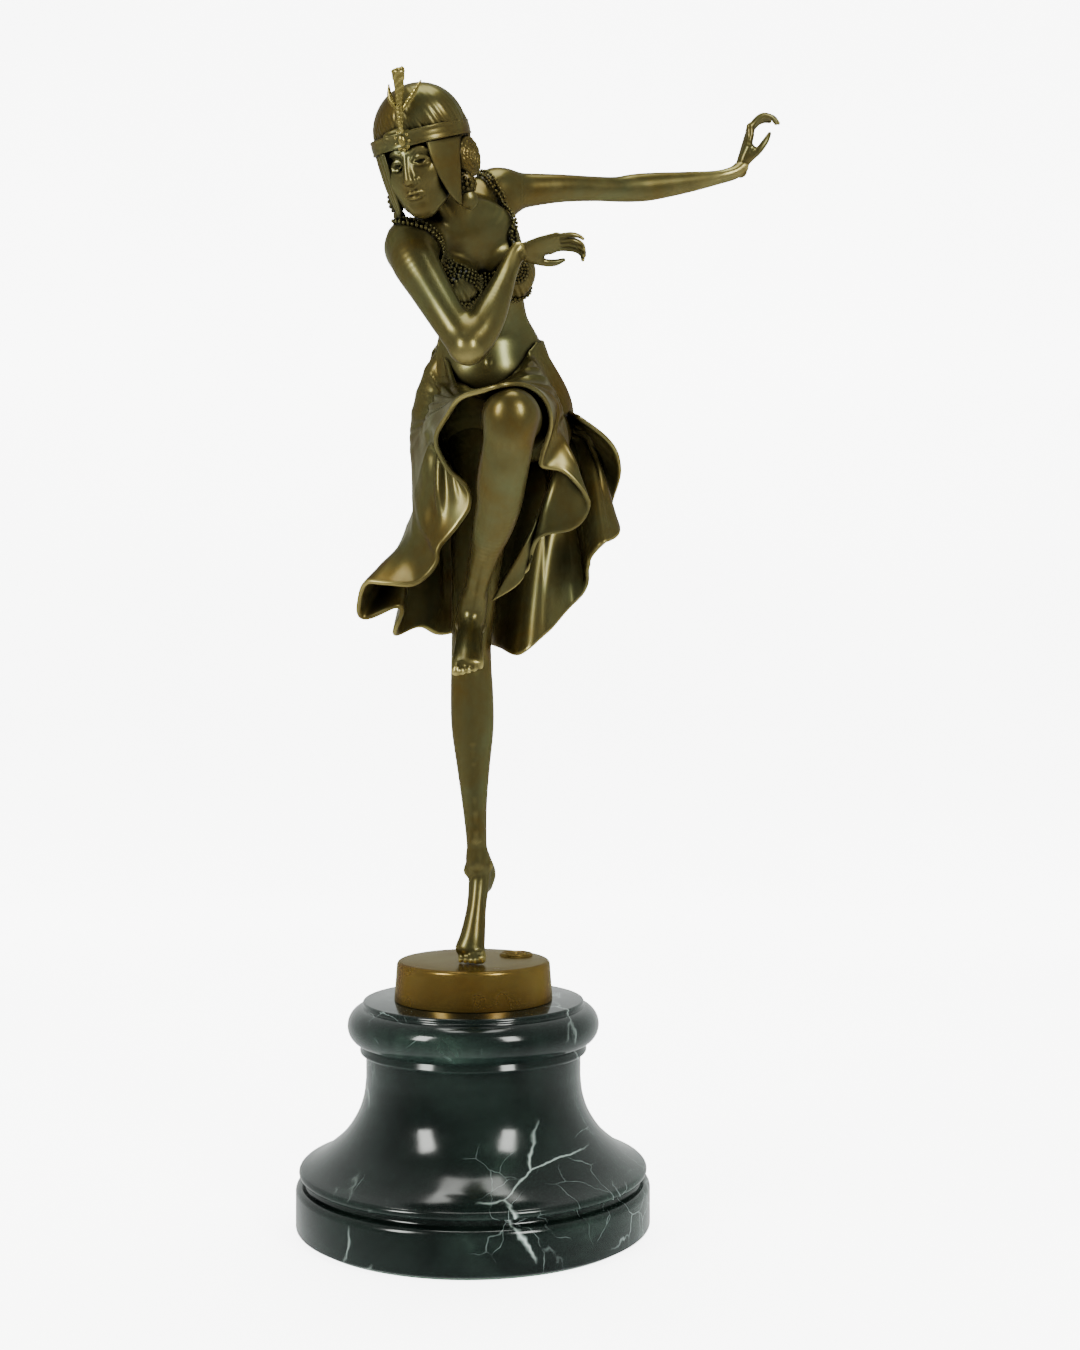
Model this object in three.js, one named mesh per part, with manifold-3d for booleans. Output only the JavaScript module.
// A bronze dancer on a turned marble socle, about 455 mm tall.
// Millimetres, +Z up. The front of the object faces -Y, and the origin is the centre of the felt's underside.
// The figure is cast in sections that are brazed edge to edge; one rod, a washer and a nut hold the plinth to the stone.
import * as THREE from "three";
import { ParametricGeometry } from "three/addons/geometries/ParametricGeometry.js";
import { mergeVertices } from "three/addons/utils/BufferGeometryUtils.js";
import Module from "manifold-3d";

const wasm = await Module();
wasm.setup();

// ---- Driving dimensions ----

const FELT = { thickness: 1.5, inset: 3 };
const FOOT = { radius: 70, height: 20.5, shoulder: 7, ledge: 3, edge: 1.2 };
const BELL = { height: 48, neckRadius: 42.5, neckHeight: 9, overhang: 3.4, lip: 2.4 };
const CAP = { height: 19.5, topRadius: 44.2, bulge: 49.8, bead: 2.4, step: 1.5 };
const PLINTH = { topRadius: 30.2, draft: 1.2, height: 15.5, wall: 3, bossRadius: 9, edge: 1.6, web: 1.2 };
const ROD = { radius: 4, clearance: 0.5, runout: 1, tail: 3, bevel: 0.8 };
const NUT = { acrossFlats: 13, height: 6.5, clearance: 0.3 };
const WASHER = { radius: 9, thickness: 1.6 };
const RECESS = { sideClearance: 4, endClearance: 0.9 };
const TENON = { radius: 2.4, length: 5, clearance: 0.3 };
const SEAL = { radius: 7, height: 1.2, margin: 1.1, bearing: 35 };
const HEAD_HEIGHT = 48; // chin to crown: every length of the figure follows it
const SEAM = 0.3; // the brazed gap between two castings
const SKIRT_WALL = 1.5;
const BEADWORK = 1.3; // how far the beaded top stands off the skin
const BAND = { thickness: 1.7, width: 6.5 };

const SOCLE_SIDES = 36;
const LIMB_SIDES = 12;

// ---- Heights and radii that follow from them ----

const footBase = FELT.thickness;
const bellBase = footBase + FOOT.height;
const capBase = bellBase + BELL.height;
const plinthBase = capBase + CAP.height;
const plinthTop = plinthBase + PLINTH.height;
const boreRadius = ROD.radius + ROD.clearance;
const recessRadius = WASHER.radius + RECESS.sideClearance;
const recessTop = footBase + WASHER.thickness + NUT.height + ROD.tail + RECESS.endClearance;
const nutTop = recessTop - WASHER.thickness;
const tenonSocket = TENON.length + TENON.clearance;
const rodHoleTop = plinthTop - tenonSocket - PLINTH.web;

// ---- Materials ----

const metal = (color, roughness) => new THREE.MeshStandardMaterial({ color, roughness, metalness: 1 });
const bronze = metal(0x6b5a2e, 0.38);
const giltBronze = metal(0x9a8040, 0.32);
const steel = metal(0x9a9da0, 0.4);
const marble = new THREE.MeshStandardMaterial({ color: 0x141b18, roughness: 0.12, metalness: 0 });
const feltCloth = new THREE.MeshStandardMaterial({ color: 0x1d3b2a, roughness: 1, metalness: 0 });

// ---- Solids ----

function solidOf(geometry) {
  const bare = geometry.index ? geometry.toNonIndexed() : geometry.clone();
  bare.deleteAttribute("normal");
  bare.deleteAttribute("uv");
  const merged = mergeVertices(bare, 1e-3);
  const vertProperties = merged.attributes.position.array;
  const made = new wasm.Manifold(
    new wasm.Mesh({ numProp: 3, vertProperties, triVerts: new Uint32Array(merged.index.array) }),
  );
  if (made.volume() > 0) return made;
  const flipped = new Uint32Array(merged.index.array).reverse();
  return new wasm.Manifold(new wasm.Mesh({ numProp: 3, vertProperties, triVerts: flipped }));
}

function geometryOf(solid) {
  const mesh = solid.getMesh();
  const geometry = new THREE.BufferGeometry();
  geometry.setAttribute("position", new THREE.BufferAttribute(mesh.vertProperties, 3));
  geometry.setIndex(new THREE.BufferAttribute(mesh.triVerts, 1));
  geometry.computeVertexNormals();
  return geometry;
}

function piece(name, solid, material) {
  const mesh = new THREE.Mesh(geometryOf(solid), material);
  mesh.name = name;
  return mesh;
}

const join = (solids) => solids.reduce((a, b) => a.add(b));
const cut = (solid, others) => others.reduce((a, b) => a.subtract(b), solid);

// A solid of revolution about Z from [radius, height] points. A profile off the axis is a ring and closes on itself.
function turned(profile, sides = SOCLE_SIDES) {
  const points = profile.map(([r, z]) => new THREE.Vector2(r, z));
  if (profile.some(([r]) => r > 0) && profile[0][0] > 0) points.push(points[0].clone());
  return solidOf(new THREE.LatheGeometry(points, sides).rotateX(Math.PI / 2));
}

const curvePoints = (curve, steps) => curve.getPoints(steps).map((p) => [p.x, p.y]);
const arc = (r, z, radius, from, to, steps = 4) =>
  curvePoints(
    new THREE.EllipseCurve(r, z, radius, radius, THREE.MathUtils.degToRad(from), THREE.MathUtils.degToRad(to), to < from),
    steps,
  );

// ---- The figure's own frame: the plinth's top is at height 0 and the head's height is the unit's 48th part ----

const scale = HEAD_HEIGHT / 48;
const at = (x, y, z) => new THREE.Vector3(x * scale, y * scale, plinthTop + z * scale);
const toWorld = new THREE.Matrix4();

// One ring of a limb: centre, half width along side, half depth across it.
const ring = (centre, width, depth, side = [1, 0, 0]) => ({ centre: at(...centre), width, depth, side });

// A closed organic limb through its rings, with round ends. grow thickens it all round.
function limb(rings, { grow = 0, steps = 2, sides = LIMB_SIDES } = {}) {
  const spine = new THREE.CatmullRomCurve3(rings.map((r) => r.centre), false, "catmullrom");
  const sizes = new THREE.SplineCurve(rings.map((r) => new THREE.Vector2(r.width * scale, r.depth * scale)));
  const sideways = new THREE.CatmullRomCurve3(rings.map((r) => new THREE.Vector3(...r.side)), false, "catmullrom");
  const spans = (rings.length - 1) * steps;
  const sections = [];
  const section = (t, shift, share) => {
    const tangent = spine.getTangent(t);
    const centre = spine.getPoint(t).addScaledVector(tangent, shift);
    const across = sideways.getPoint(t);
    across.addScaledVector(tangent, -across.dot(tangent)).normalize();
    const deep = new THREE.Vector3().crossVectors(tangent, across);
    const size = sizes.getPoint(t);
    sections.push({ centre, across, deep, width: (size.x + grow) * share, depth: (size.y + grow) * share });
  };
  const endReach = (t) => Math.min(sizes.getPoint(t).x, sizes.getPoint(t).y) * 0.8 + grow;
  for (const angle of [90, 45]) {
    const a = THREE.MathUtils.degToRad(angle);
    section(0, -Math.sin(a) * endReach(0), angle === 90 ? 0 : Math.cos(a));
  }
  for (let i = 0; i <= spans; i++) section(i / spans, 0, 1);
  for (const angle of [45, 90]) {
    const a = THREE.MathUtils.degToRad(angle);
    section(1, Math.sin(a) * endReach(1), angle === 90 ? 0 : Math.cos(a));
  }
  const surface = (u, v, target) => {
    const s = sections[Math.round(v * (sections.length - 1))];
    const angle = 2 * Math.PI * u;
    target
      .copy(s.centre)
      .addScaledVector(s.across, s.width * Math.cos(angle))
      .addScaledVector(s.deep, s.depth * Math.sin(angle));
  };
  return solidOf(new ParametricGeometry(surface, sides, sections.length - 1));
}

function ellipsoid(centre, radii, { grow = 0, turn = new THREE.Euler(), sides = 16 } = {}) {
  const geometry = new THREE.SphereGeometry(1, sides, Math.round(sides * 0.6));
  geometry.scale(...radii.map((r) => r * scale + grow));
  toWorld.makeRotationFromEuler(turn).setPosition(centre);
  return solidOf(geometry.applyMatrix4(toWorld));
}

// ---- Skeleton, in the figure's frame ----

const SHOULDER_LINE = [0.63, 0.58, 0.51];
const HIP_LINE = [1, 0.1, 0.05];
const rightShoulder = [-23.8, -50, 268];
const rightElbow = [1.6, -78, 228];
const rightWrist = [19, -52, 264];
const leftShoulder = [14.7, -14, 299];
const leftElbow = [63.5, 12, 309.5];
const leftWrist = [111.5, 30, 323];

const hips = [23.5, 15.5]; // half widths where the skirt's waist is brazed on
const BREASTS = [[-10, -34, 263], [10, -19, 270]];

function trunk(grow = 0) {
  const rings = [
    ring([8, 9, 213], 19, 15, HIP_LINE),
    ring([7, 9, 224], 26, 18, HIP_LINE),
    ring([6, 6, 238], ...hips, HIP_LINE),
    ring([3, 0, 252], 17.5, 13, HIP_LINE),
    ring([0.5, -10, 262], 19.5, 14, [0.9, 0.3, 0.25]),
    ring([-2, -20.5, 272], 23.5, 15, SHOULDER_LINE),
    ring([-4, -30, 281], 24, 11.5, SHOULDER_LINE),
    ring([-5, -34, 286], 12, 8.5, SHOULDER_LINE),
    ring([-9, -41, 292], 7.6, 7.6, SHOULDER_LINE),
  ];
  const breast = ([x, y, z]) => ellipsoid(at(x, y, z), [10, 10, 10], { grow, sides: 12 });
  return join([limb(rings, { grow, steps: 1, sides: 16 }), ...BREASTS.map(breast)]);
}

function rightArm(grow = 0) {
  const fingers = [
    [[28, -50, 270], [36.2, -48, 274], [40, -46, 271]],
    [[28, -51, 270], [37, -51, 272], [42.5, -49, 267.5]],
    [[28, -53, 269.6], [36.5, -54, 270.5], [41, -53, 266.4]],
    [[27, -54, 269], [34.5, -57, 269], [38, -57, 265.5]],
    [[23, -53, 267], [29, -57, 265.4], [36, -59, 265]],
  ];
  return join([
    limb(
      [
        ring(rightShoulder, 10, 10),
        ring([-16, -60, 256], 8.8, 9.5),
        ring([-6.5, -70, 241], 7.6, 8),
        ring(rightElbow, 7.2, 7.2),
        ring([6, -73, 237], 7.6, 7.4),
        ring([13, -61, 251], 5.8, 5.8),
        ring(rightWrist, 3.6, 4.4),
        ring([25.5, -51, 269], 3, 6, [0, 0.3, 1]),
        ring([30.5, -51.5, 270.6], 2.3, 5.6, [0, 0.3, 1]),
      ],
      { grow },
    ),
    ...fingers.map((path) => digit(path, grow)),
  ]);
}

function leftArm(grow = 0) {
  const fingers = [
    [[116.5, 31, 343], [118.6, 30, 347.6], [123.5, 30, 348.6]],
    [[117, 33.5, 342.5], [120, 33, 346], [127, 33, 345]],
    [[117, 36, 341.5], [120.4, 36, 344.6], [127.5, 36.5, 342.8]],
    [[116.5, 38.5, 340], [119.5, 39.5, 342.8], [125, 40.5, 341]],
    [[115.5, 31, 329], [120, 29, 333], [124.5, 28, 338.5]],
  ];
  return join([
    limb(
      [
        ring(leftShoulder, 9.5, 9.5, [0, 0, 1]),
        ring([30, -5, 303.5], 7.6, 8.2, [0, 0, 1]),
        ring([47, 4, 306], 6.6, 7, [0, 0, 1]),
        ring(leftElbow, 6, 6.2, [0, 0, 1]),
        ring([76, 17, 312.6], 6.2, 6, [0, 0, 1]),
        ring([96, 25, 317.5], 4.6, 4.8, [0, 0, 1]),
        ring(leftWrist, 3.5, 4, [-0.5, 0, 1]),
        ring([114, 33, 334], 2.8, 5.6, [1, 0, 0]),
        ring([116.4, 34.5, 341], 2.2, 5.4, [1, 0, 0]),
      ],
      { grow },
    ),
    ...fingers.map((path) => digit(path, grow)),
  ]);
}

const digit = (path, grow) =>
  limb(path.map((p, i) => ring(p, 1.5 - 0.25 * i, 1.5 - 0.25 * i)), { grow, sides: 6, steps: 2 });

const ballOfFoot = [0, -5, 0];

// Stands on the ball of the foot, with a tenon let into the plinth.
function standingLeg(grow = 0) {
  const leg = limb(
    [
      ring([7, 10, 206], 13, 14),
      ring([4, 7, 180], 11.5, 12.5),
      ring([1, 1, 150], 9.4, 10),
      ring([-0.5, -3, 124], 8, 8.6),
      ring([-0.4, 1, 96], 8.6, 9.4),
      ring([0.2, 2.5, 70], 6, 7),
      ring([1.4, 3, 42], 4, 4.8),
      ring([2, 3.5, 31], 4.4, 6.6),
      ring([1.2, -0.5, 14], 4.4, 5.6),
      ring([0, -4.5, 5.5], 5.4, 5),
    ],
    { grow },
  );
  const toes = limb([ring([0, -6, 3.6], 5.6, 3.4), ring([-0.4, -11.5, 3], 4.8, 2.6)], { grow });
  const below = new THREE.BoxGeometry(60, 60, 20).translate(0, 0, plinthTop - 10);
  const tenon = tenonPin(TENON.radius, TENON.length);
  return join([cut(join([leg, toes]), [solidOf(below)]), tenon]);
}

function raisedLeg(grow = 0) {
  const leg = limb(
    [
      ring([19, 0, 217], 13, 14),
      ring([18.5, -20, 214], 12.5, 13.5),
      ring([17.5, -46, 209], 11, 11.5),
      ring([16.2, -72, 204.5], 9.6, 9.6),
      ring([13.5, -66, 186], 8, 9),
      ring([10, -52, 168], 8, 9),
      ring([5.5, -37, 148], 5.2, 5.8),
      ring([2.7, -27, 133], 4.2, 4.8),
    ],
    { grow },
  );
  const foot = limb(
    [
      ring([3.6, -19, 131], 3.6, 3.8),
      ring([2.4, -27, 129.5], 4.4, 5),
      ring([0.6, -38, 123], 5.2, 4.2),
      ring([-1, -47, 116.6], 5.2, 2.6),
    ],
    { grow },
  );
  return join([leg, foot]);
}

// ---- Head, in a frame of its own: +Z up through the crown, -Y the way it faces ----

const HEAD_TURN = new THREE.Euler(...[18, -20, -20].map(THREE.MathUtils.degToRad), "ZXY");
const headCentre = at(-17, -52, 306.3);
const headFrame = new THREE.Matrix4().makeRotationFromEuler(HEAD_TURN).setPosition(headCentre);
const onHead = (x, y, z) => new THREE.Vector3(x, y, z).multiplyScalar(scale).applyMatrix4(headFrame);
const inFigure = (v) => [v.x / scale, v.y / scale, (v.z - plinthTop) / scale];
const headRing = (p, width, depth, side = [1, 0, 0]) => {
  const across = new THREE.Vector3(...side).applyEuler(HEAD_TURN).toArray();
  return ring(inFigure(onHead(...p)), width, depth, across);
};

function skull(grow = 0) {
  return join([
    ellipsoid(onHead(0, 1.5, 5), [17.4, 20.5, 19], { grow, turn: HEAD_TURN }),
    limb([headRing([0, -6, -2], 13.5, 14), headRing([0, -9.5, -13], 9.5, 10), headRing([0, -11.5, -19], 5.4, 5.2)], { grow }),
  ]);
}

const nose = () => limb([headRing([0, -18.5, 0], 1.3, 1.5), headRing([0, -22.2, -7], 2.2, 1.8)], { sides: 8 });

function band() {
  const slab = new THREE.BoxGeometry(70 * scale, 70 * scale, BAND.width).applyMatrix4(
    headFrame.clone().multiply(new THREE.Matrix4().makeTranslation(0, 0, 6.6 * scale)),
  );
  return skull(BAND.thickness).subtract(skull(SEAM)).intersect(solidOf(slab));
}

const earDisc = (side, grow = 0) => {
  const disc = new THREE.CylinderGeometry(9.5 * scale + grow, 10 * scale + grow, 5 * scale + 2 * grow, 20);
  disc.rotateZ((-side * Math.PI) / 2);
  const place = headFrame.clone().multiply(new THREE.Matrix4().makeTranslation(side * 18.5 * scale, 6 * scale, 0));
  return solidOf(disc.applyMatrix4(place));
};

const lappet = (side, grow = 0) =>
  limb(
    [
      headRing([side * 17.6, -10, 4], 1.2, 5, [1, -0.4, 0]),
      headRing([side * 17.4, -11, -8], 1.2, 4.6, [1, -0.4, 0]),
      headRing([side * 15, -11, -20], 1.1, 3.6, [1, -0.4, 0]),
      headRing([side * 12.5, -11, -27], 0.8, 1.6, [1, -0.4, 0]),
    ],
    { grow, sides: 10 },
  );

const tassel = (side, grow = 0) =>
  limb([headRing([side * 19.5, 2, -12], 2.6, 3), headRing([side * 18.5, 0, -21], 3.4, 3.6)], { grow, sides: 8 });

function brooch(grow = 0) {
  return ellipsoid(onHead(0, -19.6 - BAND.thickness, 6.6), [4.2, 1.5, 4.8], { grow, turn: HEAD_TURN, sides: 12 });
}

function plume() {
  const feather = (points, width) =>
    limb(points.map((p, i) => headRing(p, width * (i === points.length - 1 ? 1.6 : 1), 1.2)), { sides: 8 });
  return join([
    feather([[0, -22.6, 11], [0, -21.6, 18], [0, -22, 26], [0, -23, 34]], 1.7),
    feather([[0, -22.2, 15], [-2.6, -20.8, 20], [-6, -20, 25.5]], 1.2),
    feather([[0, -22.2, 15], [2.8, -20.8, 20], [7, -19.5, 24.5]], 1.2),
  ]);
}

// ---- Clothes ----

// The chest's own frame: X to the figure's left shoulder, Y to the back, Z up the spine, origin under the bust.
const spineUp = new THREE.Vector3(-0.17, -0.71, 0.68).normalize();
const chestAcross = new THREE.Vector3(...SHOULDER_LINE);
chestAcross.addScaledVector(spineUp, -chestAcross.dot(spineUp)).normalize();
const chestBack = new THREE.Vector3().crossVectors(spineUp, chestAcross);
const chestFrame = new THREE.Matrix4().makeBasis(chestAcross, chestBack, spineUp);
chestFrame.setPosition(at(-0.8, -15.5, 267));

function chestSlab(width, depth, height, x, z) {
  const place = new THREE.Matrix4().makeTranslation(x * scale, 0, z * scale);
  const slab = new THREE.BoxGeometry(width * scale, depth * scale, height * scale).applyMatrix4(place);
  return solidOf(slab.applyMatrix4(chestFrame));
}

// Cups, straps over both shoulders and a band under the bust, all standing off the skin by BEADWORK.
function beadedTop() {
  const shell = trunk(SEAM + BEADWORK).subtract(trunk(SEAM));
  const cup = ([x, y, z]) => ellipsoid(at(x, y, z), [12.6, 12.6, 11.5], { sides: 12 });
  const strap = (side) => chestSlab(5, 80, 34, side * 11, 17);
  const underBand = chestSlab(80, 80, 5, 0, 0);
  return shell.intersect(join([...BREASTS.map(cup), strap(-1), strap(1), underBand]));
}

// The wrapped skirt: each rail runs from the waist through the hip to the hem, [waist bearing, hip point, hem point].
// It starts inside the right-hand flare, passes over the raised knee and round the back, and overlaps itself.
const RAILS = [
  [-14, [25, -28, 174], [11, -33, 143]],
  [-20, [31, -27, 187], [22, -30, 158]],
  [-26, [34.5, -29, 197], [39, -36, 169]],
  [-32, [35, -33, 207], [36, -41, 190]],
  [-42, [34, -41, 212], [28, -53, 196]],
  [-60, [29, -46, 222], [24, -80, 216]],
  [-84, [13.4, -48, 225], [12, -84, 219]],
  [-108, [-3, -38, 222], [-2, -72, 212]],
  [-132, [-15, -27, 217], [-12, -54, 198]],
  [-146, [-17.5, -25, 199], [-1.5, -58, 178]],
  [-160, [-19.5, -24, 180], [-11, -51, 157]],
  [-174, [-22.6, -14, 174], [-32, -45, 147]],
  [-190, [-23.7, -2, 177], [-43, -26, 139]],
  [-212, [-22, 14, 184], [-31, -4, 130]],
  [-240, [-12, 31, 190], [-14, 26, 131]],
  [-268, [6, 36, 194], [6, 31, 128]],
  [-292, [22, 31, 194], [19, 4, 123]],
  [-308, [31, 24, 196], [34, 16, 135]],
  [-320, [38, 19, 202], [47, 12, 154]],
  [-334, [46, 14, 206], [57, 6, 170]],
  [-348, [45.6, 8, 211], [58, 14, 195]],
  [-364, [39, 0, 215], [44, -6, 211]],
];
const waistCentre = [6.3, 6.4, 239];
const waistRadii = hips.map((half) => half + (SEAM + SKIRT_WALL / 2) / scale);
const waistDip = 8; // the wrap's edge hangs lower in front

function skirtPoint(u, v, target) {
  const i = Math.min(Math.floor(u * (RAILS.length - 1)), RAILS.length - 2);
  const t = u * (RAILS.length - 1) - i;
  const rail = (k) => RAILS[THREE.MathUtils.clamp(k, 0, RAILS.length - 1)];
  const waist = ([bearing]) => {
    const a = THREE.MathUtils.degToRad(bearing);
    return at(
      waistCentre[0] + waistRadii[0] * Math.cos(a),
      waistCentre[1] + waistRadii[1] * Math.sin(a),
      waistCentre[2] + waistDip * Math.min(0, Math.sin(a)),
    );
  };
  const blend = (pick) => {
    const p = [-1, 0, 1, 2].map((k) => pick(rail(i + k)));
    return new THREE.CatmullRomCurve3(p, false, "catmullrom").getPoint((1 + t) / 3);
  };
  const points = [blend(waist), blend((r) => at(...r[1])), blend((r) => at(...r[2]))];
  target.copy(new THREE.CatmullRomCurve3(points, false, "catmullrom").getPoint(v));
}

function skirt() {
  const across = 63;
  const down = 6;
  const outward = (u, v, distance, target) => {
    const e = 0.004;
    const sample = (du, dv) => {
      const p = new THREE.Vector3();
      skirtPoint(THREE.MathUtils.clamp(u + du, 0, 1), THREE.MathUtils.clamp(v + dv, 0, 1), p);
      return p;
    };
    const along = sample(e, 0).sub(sample(-e, 0));
    const drop = sample(0, e * 4).sub(sample(0, -e * 4));
    const normal = along.cross(drop).normalize();
    skirtPoint(u, v, target);
    target.addScaledVector(normal, distance);
  };
  // The section across the sheet is a loop: out along one face, over the hem, back along the other, over the waist.
  const loop = 2 * down + 2;
  const surface = (s, u, target) => {
    const k = Math.round(s * loop) % loop;
    const onFront = k <= down;
    const v = onFront ? k / down : (2 * down + 1 - k) / down;
    const side = onFront ? -1 : 1;
    outward(u, v, (side * SKIRT_WALL) / 2, target);
  };
  const sheet = new ParametricGeometry(surface, loop, across);
  return solidOf(capped(sheet, loop, across));
}

// Closes both open ends of a swept loop with a fan about each end's own middle.
function capped(geometry, around, along) {
  const ring0 = [...Array(around).keys()];
  const ringN = ring0.map((k) => along * (around + 1) + k);
  const position = [...geometry.attributes.position.array];
  const index = [...geometry.index.array];
  for (const [ids, turn] of [[ring0, -1], [ringN, 1]]) {
    const half = around / 2;
    for (let k = 0; k < half - 1; k++) {
      const quad = [ids[k], ids[k + 1], ids[around - 2 - k], ids[around - 1 - k]];
      const order = turn > 0 ? [0, 1, 2, 0, 2, 3] : [0, 2, 1, 0, 3, 2];
      for (const n of order) index.push(quad[n]);
    }
  }
  const closed = new THREE.BufferGeometry();
  closed.setAttribute("position", new THREE.Float32BufferAttribute(position, 3));
  closed.setIndex(index);
  return closed;
}

// ---- Socle, plinth and fixings ----

function feltPad() {
  const radius = FOOT.radius - FELT.inset;
  return turned([[0, 0], [radius, 0], [radius, FELT.thickness], [0, FELT.thickness]]);
}

function marbleFoot() {
  const top = bellBase;
  const shoulder = FOOT.radius - FOOT.shoulder;
  return turned([
    [recessRadius, footBase],
    [FOOT.radius - FOOT.edge, footBase],
    [FOOT.radius, footBase + FOOT.edge],
    ...arc(shoulder, top - FOOT.ledge - FOOT.shoulder, FOOT.shoulder, 0, 70, 5),
    [shoulder + FOOT.edge, top],
    [boreRadius, top],
    [boreRadius, recessTop],
    [recessRadius, recessTop],
  ]);
}

function marbleBell() {
  const foot = FOOT.radius - FOOT.shoulder + BELL.overhang;
  const reach = foot - BELL.neckRadius;
  const flare = new THREE.CubicBezierCurve(
    new THREE.Vector2(foot, bellBase + BELL.lip),
    new THREE.Vector2(foot - 0.6 * reach, bellBase + 0.15 * BELL.height),
    new THREE.Vector2(BELL.neckRadius, bellBase + 0.42 * BELL.height),
    new THREE.Vector2(BELL.neckRadius, capBase - BELL.neckHeight),
  );
  return turned([
    [boreRadius, bellBase],
    [foot - BELL.lip / 2, bellBase],
    ...curvePoints(flare, 9),
    [BELL.neckRadius, capBase],
    [boreRadius, capBase],
  ]);
}

function marbleCap() {
  const bulge = (plinthBase - capBase - CAP.bead * 2) / 2;
  const middle = capBase + CAP.bead + bulge;
  return turned([
    [boreRadius, capBase],
    [BELL.neckRadius + CAP.step, capBase],
    [BELL.neckRadius + CAP.step, capBase + CAP.bead],
    ...arc(CAP.bulge - bulge, middle, bulge, -80, 80, 8),
    [CAP.topRadius, middle + bulge],
    [CAP.topRadius, plinthBase],
    [boreRadius, plinthBase],
  ]);
}

function tenonPin(radius, length) {
  const pin = new THREE.CylinderGeometry(radius, radius, 2 * length, 12).rotateX(Math.PI / 2);
  return solidOf(pin.translate(...at(...ballOfFoot).toArray()));
}

function bronzePlinth() {
  const bottomRadius = PLINTH.topRadius + PLINTH.draft;
  const inner = bottomRadius - PLINTH.wall;
  const cast = turned([
    [0, plinthTop],
    ...arc(PLINTH.topRadius - PLINTH.edge, plinthTop - PLINTH.edge, PLINTH.edge, 90, 0, 3),
    [bottomRadius, plinthBase],
    [inner, plinthBase],
    [inner, plinthTop - PLINTH.wall],
    [PLINTH.bossRadius, plinthTop - PLINTH.wall],
    [PLINTH.bossRadius, plinthBase],
    [boreRadius, plinthBase],
    [boreRadius, rodHoleTop],
    [0, rodHoleTop],
  ]);
  return cast.subtract(tenonPin(TENON.radius + TENON.clearance, tenonSocket));
}

function foundrySeal() {
  const rim = plinthTop + SEAL.height;
  const field = plinthTop + SEAL.height * 0.7;
  const profile = [
    [0, plinthTop],
    [SEAL.radius, plinthTop],
    [SEAL.radius, field],
    [SEAL.radius * 0.93, rim],
    [SEAL.radius * 0.8, rim],
    [SEAL.radius * 0.74, field],
    [0, field],
  ];
  const bearing = THREE.MathUtils.degToRad(SEAL.bearing);
  const distance = PLINTH.topRadius - PLINTH.edge - SEAL.margin - SEAL.radius;
  return turned(profile, 28).translate([distance * Math.cos(bearing), distance * Math.sin(bearing), 0]);
}

function threadedRod() {
  const low = nutTop - NUT.height - ROD.tail;
  const high = rodHoleTop - ROD.runout;
  const tip = ROD.radius - ROD.bevel;
  const side = [[ROD.radius, low + ROD.bevel], [ROD.radius, high - ROD.bevel]];
  return turned([[0, low], [tip, low], ...side, [tip, high], [0, high]], 20);
}

function washer() {
  const top = nutTop + WASHER.thickness;
  return turned([[boreRadius, nutTop], [WASHER.radius, nutTop], [WASHER.radius, top], [boreRadius, top]], 24);
}

function nut() {
  const corner = NUT.acrossFlats / 2 / Math.cos(Math.PI / 6);
  const corners = [0, 1, 2, 3, 4, 5].map((k) => new THREE.Vector2(corner, 0).rotateAround(new THREE.Vector2(), (k * Math.PI) / 3));
  const shape = new THREE.Shape(corners);
  shape.holes.push(new THREE.Path().absarc(0, 0, ROD.radius + NUT.clearance, 0, 2 * Math.PI, true));
  const geometry = new THREE.ExtrudeGeometry(shape, { depth: NUT.height, bevelEnabled: false, curveSegments: 10 });
  return solidOf(geometry.translate(0, 0, nutTop - NUT.height));
}

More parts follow.
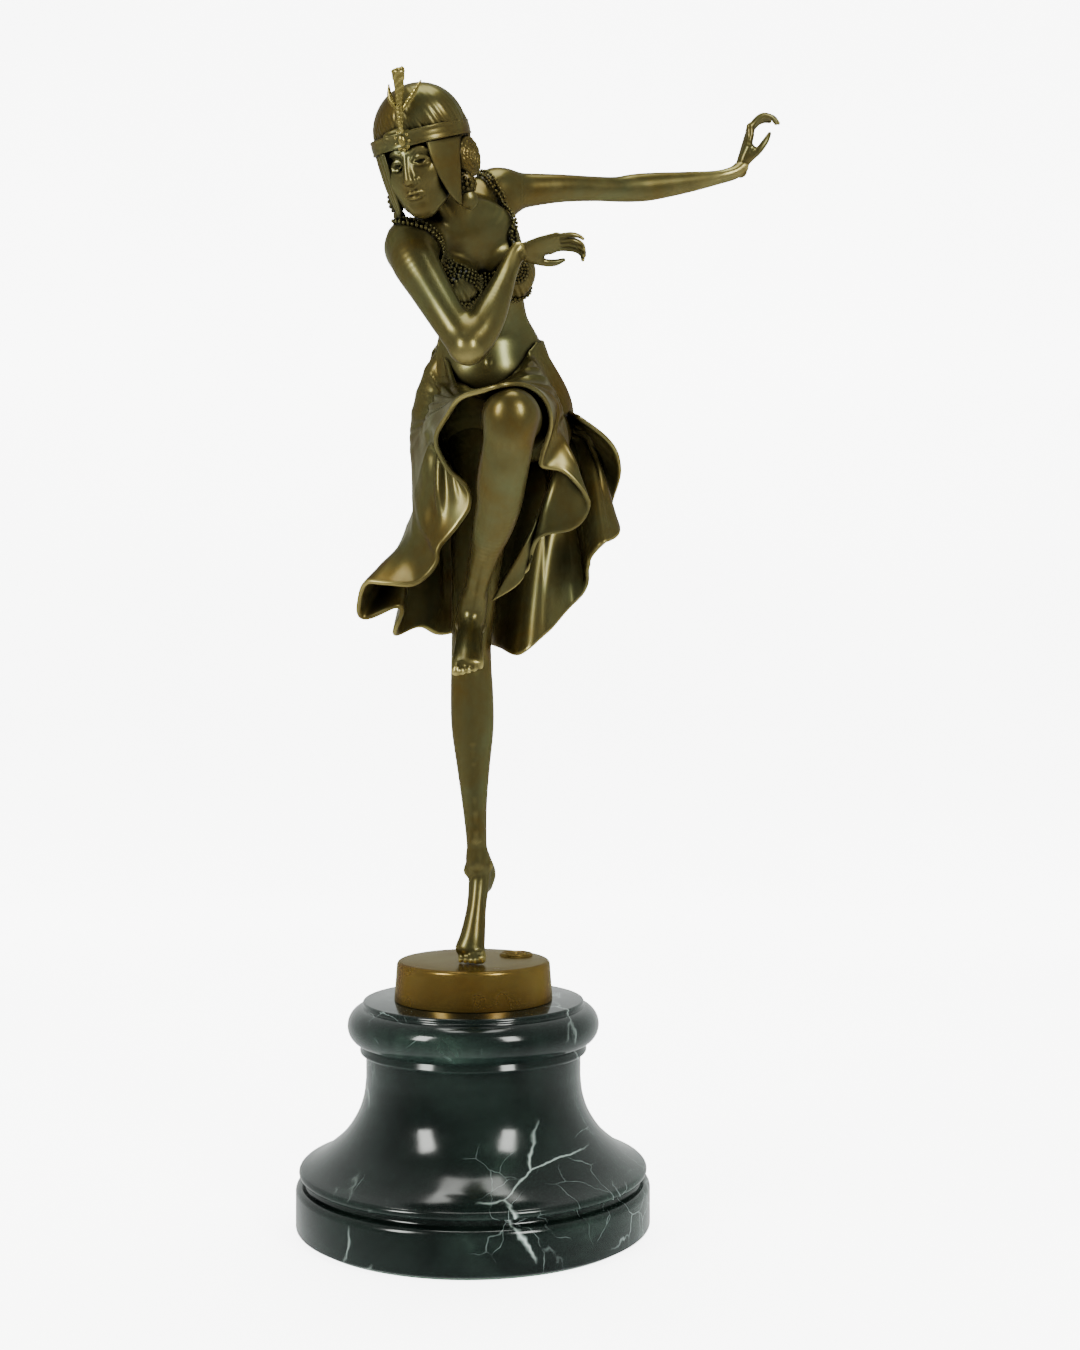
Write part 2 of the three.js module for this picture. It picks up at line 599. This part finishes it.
// ---- Assembly: each casting is cut back by SEAM from the one that it is brazed to ----

function bronzeFigure() {
  const arms = [rightArm(SEAM), leftArm(SEAM)];
  const torso = cut(trunk(), arms);
  const legs = { standing: cut(standingLeg(), [trunk(SEAM)]) };
  legs.raised = cut(raisedLeg(), [trunk(SEAM), standingLeg(SEAM)]);
  const head = cut(join([skull(), nose()]), [trunk(SEAM)]);
  const body = [trunk(SEAM), standingLeg(SEAM), raisedLeg(SEAM), ...arms];
  const figure = [
    piece("torso", torso, bronze),
    piece("right_arm", rightArm(), bronze),
    piece("left_arm", leftArm(), bronze),
    piece("standing_leg", legs.standing, bronze),
    piece("raised_leg", legs.raised, bronze),
    piece("head", head, bronze),
    piece("skirt", cut(skirt(), body), bronze),
    piece("beaded_top", cut(beadedTop(), [...arms, skull(SEAM)]), bronze),
    piece("headband", band(), bronze),
    piece("brooch", cut(brooch(), [skull(BAND.thickness + SEAM)]), giltBronze),
    piece("plume", cut(plume(), [brooch(SEAM), skull(BAND.thickness + SEAM)]), giltBronze),
  ];
  for (const [word, side] of [["right", -1], ["left", 1]]) {
    const around = [skull(BAND.thickness + SEAM), trunk(SEAM + BEADWORK + SEAM), ...arms];
    figure.push(piece(`${word}_lappet`, cut(lappet(side), around), bronze));
    figure.push(piece(`${word}_ear_disc`, cut(earDisc(side), [...around, lappet(side, SEAM)]), bronze));
    figure.push(piece(`${word}_tassel`, cut(tassel(side), [...around, lappet(side, SEAM), earDisc(side, SEAM)]), bronze));
  }
  return figure;
}

const statuette = new THREE.Group();
statuette.name = "bronze_statuette";
statuette.add(
  piece("felt_pad", feltPad(), feltCloth),
  piece("marble_foot", marbleFoot(), marble),
  piece("marble_bell", marbleBell(), marble),
  piece("marble_cap", marbleCap(), marble),
  piece("threaded_rod", threadedRod(), steel),
  piece("rod_washer", washer(), steel),
  piece("rod_nut", nut(), steel),
  piece("bronze_plinth", bronzePlinth(), bronze),
  piece("foundry_seal", foundrySeal(), bronze),
  ...bronzeFigure(),
);

export default statuette;
